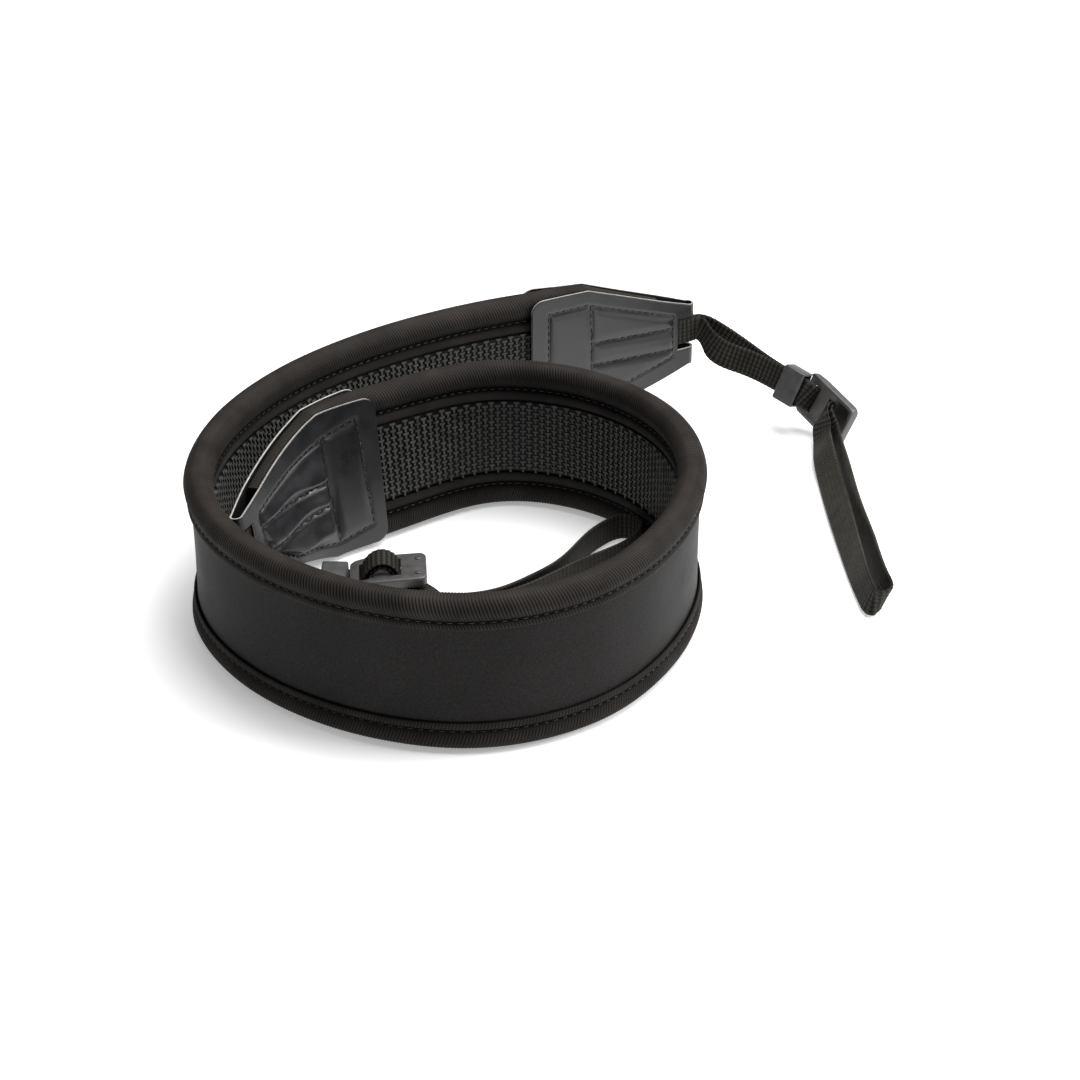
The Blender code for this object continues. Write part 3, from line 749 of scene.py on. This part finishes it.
def build_binding_stitches(route, side, look):
    """The stitches sunk in the groove between roll and lip, on both faces."""
    count = int((route.length - 2 * PAD_START) / BINDING_STITCH_PITCH)
    s = PAD_START + 1.0 + np.arange(count) * BINDING_STITCH_PITCH
    low, high, share = pad_section(route, s)
    edge = low if side < 0 else high
    parts = []
    for face in (1, -1):
        z = edge - side * STITCH_UP[face]
        out = face * (CORE_HALF * share + FIT_GAP + 0.36)
        centre = route.point(s, out, z)
        ahead = unit(route.point(s + 1.0, out, z) - route.point(s - 1.0, out, z))
        away = route.point(s, out + face, z) - centre
        parts.append(stitch_row(centre, ahead, away, BINDING_STITCH))
    name = "binding_stitches_bottom" if side < 0 else "binding_stitches_top"
    return put_joined(name, parts, look)


def build_liner(route, look):
    """A thin sheet with small raised bars and stems in staggered columns."""
    s = np.linspace(LINER_START, route.length - LINER_START, 260)[:, None]
    low, high, share = pad_section(route, s)
    near = -(CORE_HALF * share + FIT_GAP)
    far = near - LINER_BASE
    bottom, top = low + LINER_EDGE, high - LINER_EDGE
    base = np.concatenate([route.point(s, near, bottom), route.point(s, near, top),
                           route.point(s, far, top), route.point(s, far, bottom)], 1)
    columns = int((route.length - 2 * LINER_START - 3.0) / BLOCK_COLUMN)
    rows = int((PAD_HEIGHT - 2 * LINER_EDGE) / BLOCK_ROW)
    i, j = np.meshgrid(np.arange(columns), np.arange(rows), indexing="ij")
    at = (LINER_START + 2.2 + (i + 0.5) * BLOCK_COLUMN).ravel()
    up = (PAD_HEIGHT / 2 + (j - rows / 2 + 0.25 + 0.5 * (i % 2)) * BLOCK_ROW).ravel()
    square = ((-1, -1), (1, -1), (1, 1), (-1, 1))
    corners = np.array([(a, b, c) for c in (0, 1) for a, b in square], float)
    points, depth, faces = [base.reshape(-1, 3)], [np.zeros(base.shape[:2]).ravel()], []
    count, size = base.shape[:2]
    for r in range(count - 1):
        for c in range(size):
            d = (c + 1) % size
            faces.append([r * size + c, (r + 1) * size + c, (r + 1) * size + d, r * size + d])
    faces.append([0, 1, 2, 3])
    faces.append([(count - 1) * size + k for k in (3, 2, 1, 0)])
    start = count * size
    sides = ((4, 5, 6, 7), (0, 1, 5, 4), (1, 2, 6, 5), (2, 3, 7, 6), (3, 0, 4, 7), (3, 2, 1, 0))
    for along, above, half_along, half_up in BLOCKS:
        shrink = 1.0 - BLOCK_TAPER * corners[:, 2] / np.array([[half_along], [half_up]])
        ss = at[:, None] + along + corners[:, 0] * half_along * shrink[0]
        zz = up[:, None] + above + corners[:, 1] * half_up * shrink[1]
        tip = squeeze(np.minimum(ss, route.length - ss))[0]
        level = -(CORE_HALF * tip + FIT_GAP + LINER_BASE - BLOCK_SUNK)
        level = level - corners[:, 2] * (BLOCK_RISE + BLOCK_SUNK)
        blocks = route.point(ss, level, zz)
        points.append(blocks.reshape(-1, 3))
        # Painted shade: 0.1 at a block's foot and 1 on its top; the base sheet has 0.
        depth.append(np.tile(corners[:, 2] * 0.9 + 0.1, len(at)))
        faces += [[start + 8 * n + k for k in side[::-1]] for n in range(len(at)) for side in sides]
        start += 8 * len(at)
    points, depth = np.concatenate(points), np.concatenate(depth)
    return put_mesh("grip_pattern", points, faces, [look], depth=depth, sharp=35)


# The tabs

def segment_distance(points, a, b):
    """How far points lie from the line between a and b."""
    a, b = np.array(a, float), np.array(b, float)
    t = np.clip(((points - a) @ (b - a)) / ((b - a) @ (b - a)), 0.0, 1.0)
    return np.linalg.norm(points - a - t[..., None] * (b - a), axis=-1)


def inside(points, polygon):
    """Which points lie in a polygon."""
    found = np.zeros(points.shape[:-1], bool)
    x, y = points[..., 0], points[..., 1]
    for (x1, y1), (x2, y2) in zip(polygon, polygon[1:] + polygon[:1]):
        if y1 != y2:
            found ^= ((y1 > y) != (y2 > y)) & (x < (x2 - x1) * (y - y1) / (y2 - y1) + x1)
    return found


def tab_relief(points, name):
    """How far the padded panels stand up and the stitched lines sink in."""
    line = np.full(points.shape[:-1], 99.0)
    for seam in SEAMS[name]:
        for a, b in zip(seam, seam[1:]):
            line = np.minimum(line, segment_distance(points, a, b))
    x, y = points[..., 0], points[..., 1]
    puff = np.zeros_like(line)
    for i, panel in enumerate(PANELS[name]):
        found = inside(points, panel)
        if name == "inner" and i > 0:
            upper, lower = (np.interp(x, *FOLD_LINES[k]) for k in (i - 1, i))
            tall = np.maximum(upper - lower, 0.1)
            w = np.clip((upper - y) / tall, 0.0, 1.0)
            crest = FOLD_CREST + 0.1 * np.sin(0.21 * x + 1.9 * i)
            rise = np.minimum(w / crest, (1.0 - w) / (1.0 - crest))
            rise = smooth_share(rise * 0.85) * tall * FOLD_SHARE
            rise = rise * smooth_share((x - 19.0) / 7.0) * smooth_share(line / 1.2)
            rise = rise + FOLD_PUFF * smooth_share(line / 2.0)
            puff = np.maximum(puff, np.where(found, rise, 0.0))
        else:
            rise = smooth_share(line / PUFF_REACH) ** 0.7
            full = 1.15 - (y / 26.0) ** 2 if name == "inner" else 1.0
            puff = np.maximum(puff, np.where(found, PUFF[name] * rise * full, 0.0))
    return puff - SEAM_DEPTH * np.exp(-((line / SEAM_HALF) ** 2))


def tab_map(route, name, from_tip, side, turn, reach, z):
    """Points of a tab: distance from its fold, flap, turn round the fold, reach from its middle."""
    s = from_tip if name == "outer" else route.length - from_tip
    beyond = -1.0 if name == "outer" else 1.0
    return route.point(s, side * reach * np.cos(turn), z, beyond * reach * np.sin(turn))


def round_off(radius, to_end):
    """How far a rounded corner of this radius draws in near an end."""
    return radius - np.sqrt(radius**2 - np.maximum(radius - to_end, 0.0) ** 2)


def build_tab(route, name, looks):
    """One leather sheet folded over the pad's end: its outside, rims and inside as closed rings."""
    length, run = TAB_LENGTHS[name], TAB_TAPERS[name]
    near_end = np.array((0.0, 0.12, 0.3, 0.5, 0.8, 1.2, 1.7, 2.3, 3.0, 3.8))
    flap = np.concatenate([length - near_end, np.linspace(length - 4.5, 0.6, 100)])
    folds = np.radians(np.linspace(0.0, 90.0, 9))
    from_tip = np.concatenate([flap, np.zeros(17), flap[::-1]])[:, None]
    turn = np.concatenate([0 * flap, folds, folds[-2::-1], 0 * flap])[:, None]
    side = np.concatenate([1 + 0 * flap, np.ones(9), -np.ones(8), -1 - 0 * flap])[:, None]
    space = squeeze(from_tip)[1]
    low, high = taper(from_tip, TAB_HEIGHT, 0.0, run)
    to_end = length - from_tip
    corner = round_off(TAB_CORNER, to_end)
    low, high = low + corner, high - corner
    end_round = round_off(LEATHER_ROUND, to_end)
    t = np.linspace(0.0, 1.0, 76)[None, :]
    t = t - 0.06 * np.sin(4 * math.pi * t) / (2 * math.pi)
    z = low + RIM_MARGIN + (high - low - 2 * RIM_MARGIN) * t
    spots = np.stack([np.broadcast_to(to_end, z.shape), z - PAD_HEIGHT / 2], -1)
    fade = smooth_share(from_tip / 5.0)
    if name == "inner":
        fade = fade * np.where(side < 0, 1.0, HIDDEN_RELIEF)
    relief = tab_relief(spots, name) * fade
    under = space + LEATHER - LEATHER_WALL

    def at(reach, z):
        return tab_map(route, name, from_tip, side, turn, reach, z)

    rim = ((0.93, 0.3), (0.72, 0.0), (0.2, 0.0), (0.05, 0.3))
    outer = at(space + LEATHER - end_round * 0.8 + relief, z)
    rim_high = [at(under + LEATHER_WALL * f, high - RIM_MARGIN * g) for f, g in rim]
    rim_low = [at(under + LEATHER_WALL * f, low + RIM_MARGIN * g) for f, g in rim[::-1]]
    back = np.linspace(1.0, 0.0, 9)[None, :]
    zb = low + RIM_MARGIN + (high - low - 2 * RIM_MARGIN) * back
    inner = at(under + end_round * 0.5 + 0 * zb, zb)
    rings = np.concatenate([outer] + rim_high + [inner] + rim_low, 1)
    # The rims' middle columns take the second look, the pale cut edge.
    columns = np.zeros(rings.shape[1], int)
    columns[77:79] = 1
    columns[-4:-2] = 1
    made = loft(f"tab_skin_{name}", rings, looks, chosen=columns, sharp=60)
    s = 0.0 if name == "outer" else route.length
    centre = route.point(s, 0.0, SLOT_MIDDLE)
    out = route.point(s, 1.0, SLOT_MIDDLE) - centre
    up = route.point(s, 0.0, SLOT_MIDDLE + 1.0) - centre
    size = (2 * SLOT_DEPTH, 12.0, SLOT_HEIGHT)
    slot = box_at("slot", centre, (np.cross(out, up), out, up), size, looks[1])
    cut(made, [slot], 50)
    return made


def build_tab_stitches(route, name, look):
    """Thread along the stitched lines, sunk in the leather of both flaps."""
    spots, ways = [], []
    for seam in SEAMS[name]:
        line = np.array(seam)
        knots = chord_knots(line)
        count = round(knots[-1] / TAB_STITCH_PITCH)
        at = (np.arange(count) + 0.5) * knots[-1] / count
        place = np.stack([np.interp(at, knots, line[:, k]) for k in (0, 1)], -1)
        ahead = np.stack([np.interp(at + 0.3, knots, line[:, k]) for k in (0, 1)], -1)
        spots.append(place)
        ways.append(ahead - place)
    spots, ways = np.concatenate(spots), np.concatenate(ways)
    level = LEATHER - TAB_STITCH_SUNK

    def on_flap(places, side, reach):
        from_tip = TAB_LENGTHS[name] - places[:, 0]
        reach = squeeze(from_tip)[1] + reach
        return tab_map(route, name, from_tip, side, 0.0, reach, places[:, 1] + PAD_HEIGHT / 2)

    parts = []
    for side in (1.0, -1.0):
        centre = on_flap(spots, side, level)
        away = on_flap(spots, side, level + 1.0) - centre
        ahead = unit(on_flap(spots + ways, side, level) - centre)
        parts.append(stitch_row(centre, ahead, away, TAB_STITCH))
    return put_joined(f"tab_stitches_{name}", parts, look)


# The webbing, keepers and sliders

def frame_of(along, across):
    """Unit vectors along, across and above, square to each other."""
    along = np.array(along, float) / np.linalg.norm(along)
    across = np.array(across, float)
    across = across - along * across.dot(along)
    across = across / np.linalg.norm(across)
    return along, across, np.cross(across, along)


def placed(row):
    """A slider's or keeper's centre, and its unit vectors along, across and above."""
    centre, along, across = row
    return (np.array(centre), *frame_of(along, across))


def width_way(lean_x=0.0, lean_y=0.0):
    """The webbing's width as a unit vector, from its lean in x and y."""
    return np.array([lean_x, lean_y, math.sqrt(max(1.0 - lean_x**2 - lean_y**2, 0.0))])


def pair_rows(route, name):
    """The strand pair's middle from inside the tab through its keeper, as rows of LEADS."""
    rows = []
    for from_tip, apart in SLOT_LEAD:
        s = from_tip if name == "outer" else route.length - from_tip
        s = min(max(s, 0.0), route.length)
        past = min(from_tip, 0.0) if name == "outer" else max(-from_tip, 0.0)
        spot = route.point(s, 0.0, SLOT_MIDDLE, past)
        above = route.point(s, 0.0, SLOT_MIDDLE + 1.0, past) - spot
        rows.append((*spot, above[0], above[1], apart, 0.0))
    rows += LEADS[name]
    centre, along, across, _ = placed(KEEPERS[name])
    half = KEEPER_LENGTH / 2
    for a in (-half - 0.8, -half / 3, half / 3, half + 0.8):
        rows.append((*(centre + along * a), *across[:2], STRAND_PITCH, 0.0))
    return np.array(rows)


def lead_rows(route, name, side):
    """One strand's rows from inside the tab to its slider's loop end."""
    rows = []
    middles = pair_rows(route, name)
    for i, row in enumerate(middles):
        way = middles[min(i + 1, len(middles) - 1)][:3] - middles[max(i - 1, 0)][:3]
        width = width_way(row[3], row[4])
        up = frame_of(way, width)[2]
        drop = np.array([0.0, 0.0, row[6] * side / 2])
        rows.append(np.concatenate([row[:3] + up * side * row[5] / 2 + drop, width]))
    centre, along, across, above = placed(SLIDERS[name])
    passing = np.array(SLIDER_APPROACH[name] + SLIDER_PASS)
    turns = unit(np.gradient(passing, axis=0))
    for (a, t), (da, dt) in zip(passing, turns):
        a2 = a - dt * side * STRAND_PITCH / 2
        t2 = t + da * side * STRAND_PITCH / 2
        rows.append(np.concatenate([centre + along * a2 + above * t2, across]))
    return rows


def build_webbing(route, name, look):
    """The whole tape: out along one strand, round the lug loop and back along the other."""
    out = lead_rows(route, name, -1.0)
    back = lead_rows(route, name, 1.0)[::-1]
    loop = [np.array([*row[:3], *width_way(*row[3:])]) for row in LOOPS[name]]
    rows = np.array(out + loop + back)
    knots = chord_knots(rows[:, :3])
    count = round(knots[-1] / (WEAVE_ROW / 4))
    places = np.linspace(0.0, knots[-1], count + 1)
    line = natural_spline(knots, rows, places)
    ways = unit(np.gradient(line[:, :3], axis=0))
    across = unit(line[:, 3:] - ways * (line[:, 3:] * ways).sum(1, keepdims=True))
    above = np.cross(across, ways)
    run = chord_knots(line[:, :3])[:, None]

    # The weave is plain on the loop's straight strands, and coarse at its turn and on the slider's fold.
    loop_from, loop_to = knots[len(out)], knots[len(out) + len(loop) - 1]
    turn_at = knots[len(out) + LOOP_TURNS[name]]
    plain = smooth_share((run - loop_from) / 10.0) * smooth_share((loop_to - run) / 10.0)
    plain = plain * smooth_share((np.abs(run - turn_at) - 9.0) / 14.0)
    fold_at = knots[len(pair_rows(route, name)) + len(SLIDER_APPROACH[name]) + 2]
    hump = sum(np.exp(-(((run - at) / 6.5) ** 4)) for at in (fold_at, knots[-1] - fold_at))
    deep = WEAVE_DEEP - 0.22 * plain + 0.16 * hump
    half = WEBBING_WIDTH / 2
    t = np.linspace(-1.0, 1.0, 19)[None, :]
    v = t * (half - 0.12)
    ridge = np.abs(np.sin(math.pi * v / WEAVE_COLUMN)) ** 0.6
    knuckle = (0.5 + 0.5 * np.cos(2 * math.pi * run / WEAVE_ROW)) ** 0.8
    height = (0.12 + 0.88 * knuckle) * (0.45 - 0.25 * hump + (0.55 + 0.25 * hump) * ridge)
    edge_round = WEAVE_EDGE_ROUND * np.clip((np.abs(t) - 0.93) / 0.07, 0.0, 1.0) ** 2
    level = WEBBING_THICK / 2 - deep * (1.0 - height) - edge_round
    tooth = (0.15 + 0.2 * plain) * np.cos(2 * math.pi * run / WEAVE_ROW) - 0.15 * plain
    middle, across, above = line[:, None, :3], across[:, None], above[:, None]
    v_back, level_back = v[:, ::-1], level[:, ::-1]
    over = middle + across * v[..., None] + above * level[..., None]
    under = middle + across * v_back[..., None] - above * level_back[..., None]
    side_high = middle + across * (half - 0.1 + tooth)[..., None]
    side_low = middle - across * (half - 0.1 + tooth)[..., None]
    rings = np.concatenate([over, side_high, under, side_low], 1)
    # Painted shade in the weave's hollows, milder on the plain strands; the edges get a painted highlight on
    # the loop's plain strands.
    shade = 0.15 + 0.85 * (1.0 - height) * (1.0 - 0.45 * plain)
    edge = 0.3 - 0.3 * np.broadcast_to(plain, run.shape)
    depth = np.concatenate([shade, edge, shade[:, ::-1], edge], 1)
    spread = np.concatenate([v, [[half]], v_back, [[-half]]], 1)
    weave = np.stack(np.broadcast_arrays(run, spread, plain), -1)
    return loft(f"webbing_weave_{name}", rings, [look], depth=depth, weave=weave)


def build_keeper(name, look):
    """A rounded sleeve with a hole right through."""
    centre, along, across, above = placed(KEEPERS[name])
    axes = (along, above, across)
    size = (KEEPER_LENGTH, *KEEPER_SIZE[::-1])
    made = box_at(f"keeper_{name}_moulded", centre, axes, size, look)
    bevel(made, "edges", 0.75, 4, 30)
    hole = box_at("hole", centre, axes, (KEEPER_LENGTH * 1.5, *KEEPER_HOLE[::-1]), look)
    cut(made, [hole], 40)
    return soften(made)


def build_slider_plate(name, look):
    """The flat moulding: round corners in plan, a sloped narrow end, and its slots."""
    centre, along, across, above = placed(SLIDERS[name])
    axes = (along, above, across)
    middle = centre + above * SLIDER_THICK / 2
    size = (SLIDER_LENGTH, SLIDER_THICK, SLIDER_WIDTH)
    made = box_at(f"slider_{name}_moulded", middle, axes, size, look)
    shape = bmesh.new()
    shape.from_mesh(made.data)
    upright = [e for e in shape.edges if abs((e.verts[0].co - e.verts[1].co).y) > SLIDER_THICK * MM / 2]
    corner = {"offset": SLIDER_CORNER * MM, "segments": 8, "affect": "EDGES", "profile": 0.5}
    bmesh.ops.bevel(shape, geom=upright, **corner)
    shape.to_mesh(made.data)
    shape.free()
    bevel(made, "edges", 0.7, 4, 50)
    (a1, t1), (a2, t2) = SLIDER_SLOPE
    run = along * (a2 - a1) + above * (t2 - t1)
    run = run / np.linalg.norm(run)
    rise = np.cross(across, run)
    spot = centre + along * a2 + above * t2 - run * 10.0 + rise * 3.0
    cut(made, [box_at("slope", spot, (run, rise, across), (20.0, 6.0, SLIDER_WIDTH * 2), look)], 40)
    cutters = []
    for low, high, depth, width in SLIDER_CUTS[: 3 if name == "inner" else 4]:
        spot = centre + along * (low + high) / 2 + above * (depth - 1.0) / 2
        cutters.append(box_at("slider_cut", spot, axes, (high - low, depth + 1.0, width), look))
    cut(made, cutters, 40)
    return soften(made)


def build_slider_core(name, look):
    """The rounded core that fills the webbing's fold."""
    centre, along, across, above = placed(SLIDERS[name])
    shape = np.array(SLIDER_BAR)
    rings = []
    for reach, shrink in ((-1.0, 0.9), (-0.96, 1.0), (0.96, 1.0), (1.0, 0.9)):
        core = (shape - shape.mean(axis=0)) * shrink + shape.mean(axis=0)
        flat = core[:, :1] * along + core[:, 1:] * above + across * reach * SLIDER_BAR_WIDTH / 2
        rings.append(centre + flat)
    return loft(f"slider_{name}_core", np.array(rings), [look], sharp=40)


def build_slider_pips(name, look):
    """Two low pips on the wide end."""
    centre, along, across, above = placed(SLIDERS[name])
    pips = []
    for side, sign in (("left", -1), ("right", 1)):
        spot = centre + along * PIP_ALONG + across * PIP_ACROSS * sign + above * SLIDER_THICK
        pips.append(dome(f"slider_{name}_pip_{side}", spot, above, PIP_RADIUS, PIP_RISE, look))
    return pips


def dome(name, centre, normal, radius, rise, look):
    """A low round pip on a flat face."""
    normal = np.array(normal, float)
    side = np.cross(normal, (0.0, 0.0, 1.0) if abs(normal[2]) < 0.9 else (1.0, 0.0, 0.0))
    side = side / np.linalg.norm(side)
    other = np.cross(normal, side)
    around = np.linspace(0.0, 2 * math.pi, 21)[:-1]
    rings = []
    for reach, up in ((1.0, -0.3), (1.0, 0.35), (0.92, 0.7), (0.7, 0.92), (0.35, 1.0), (0.08, 1.0)):
        ring = (np.cos(around)[:, None] * side + np.sin(around)[:, None] * other) * radius * reach
        rings.append(np.array(centre) + ring + normal * rise * up)
    return loft(name, np.array(rings), [look], sharp=40)


# The stage

def area_light(name, place, target, size, power):
    data = bpy.data.lights.new(name, "AREA")
    data.shape = "RECTANGLE"
    data.size, data.size_y = size
    data.energy = power
    made = new_object(name, data)
    made.location = place
    way = Vector(target) - made.location
    made.rotation_euler = way.to_track_quat("-Z", "Y").to_euler()


def build_stage():
    """A pale glowing floor, an even sky and two soft lights."""
    mesh = bpy.data.meshes.new("floor")
    reach = FLOOR_REACH
    corners = [(-reach, -reach, 0), (reach, -reach, 0), (reach, reach, 0), (-reach, reach, 0)]
    mesh.from_pydata(corners, [], [(0, 1, 2, 3)])
    floor = new_object("floor", mesh)
    floor.location = (0.0, 0.0, -FLOOR_BELOW)
    look = Look("floor_paper", 0.9)
    look.color(look.ramp(look.noise(400.0, 1.0), ((0.3, grey(0.88)), (0.7, grey(0.9)))))
    look.shader.inputs["Emission Color"].default_value = (1.0, 1.0, 1.0, 1.0)
    look.shader.inputs["Emission Strength"].default_value = FLOOR_GLOW
    mesh.materials.append(look.material)
    world = bpy.data.worlds.new("studio")
    world.use_nodes = True
    world.node_tree.nodes["Background"].inputs[0].default_value = (1.0, 1.0, 1.0, 1.0)
    world.node_tree.nodes["Background"].inputs[1].default_value = SKY_GLOW
    bpy.context.scene.world = world
    for light in LIGHTS:
        area_light(*light)
    bpy.context.scene.view_settings.view_transform = "Standard"
    bpy.context.scene.view_settings.look = "None"


def build_camera():
    data = bpy.data.cameras.new("photo_view")
    data.sensor_width = 36.0
    data.lens = CAMERA_LENS
    made = new_object("photo_view", data)
    made.location = CAMERA_PLACE
    made.rotation_euler = (math.radians(CAMERA_TILT), 0.0, 0.0)
    bpy.context.scene.camera = made


def finish_piece(made, slot, *nodes):
    """Ties a piece to the strap's one body and hides the solids that it stands for; its slot is not used."""
    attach(made, "root")
    if nodes:
        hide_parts(*nodes)


def main():
    route = Route(ROUTE)
    build_camera()
    tape = tape_look()
    thread = thread_look("seam_thread", 0.06)
    dark_thread = thread_look("binding_thread", 0.008)
    leather = [leather_look(), cut_edge_look()]
    web = webbing_look()
    slider_look = plastic_look("slider_plastic", (0.056, 0.054, 0.053), (0.082, 0.078, 0.077), 0.34)
    keeper_look = plastic_look("keeper_plastic", (0.046, 0.045, 0.045), (0.066, 0.065, 0.065), 0.42)
    pad = build_pad(route, neoprene_look())
    finish_piece(pad, "neoprene", "pad_core")
    for side, node in ((-1, "binding_bottom"), (1, "binding_top")):
        finish_piece(build_binding(route, side, tape), "binding_tape", node)
        finish_piece(build_binding_stitches(route, side, dark_thread), "binding_tape")
    finish_piece(build_liner(route, grip_look()), "grip_sheet", "grip_liner")
    for name in ("outer", "inner"):
        finish_piece(build_tab(route, name, leather), "tab_leather", f"tab_{name}")
        finish_piece(build_tab_stitches(route, name, thread), "tab_leather")
        finish_piece(build_webbing(route, name, web), "webbing", f"webbing_{name}")
        finish_piece(build_keeper(name, keeper_look), "keeper_plastic", f"keeper_{name}")
        finish_piece(build_slider_plate(name, slider_look), "slider_plastic", f"slider_{name}")
        finish_piece(build_slider_core(name, slider_look), "slider_plastic")
        for pip in build_slider_pips(name, slider_look):
            finish_piece(pip, "slider_plastic")
    build_stage()


main()
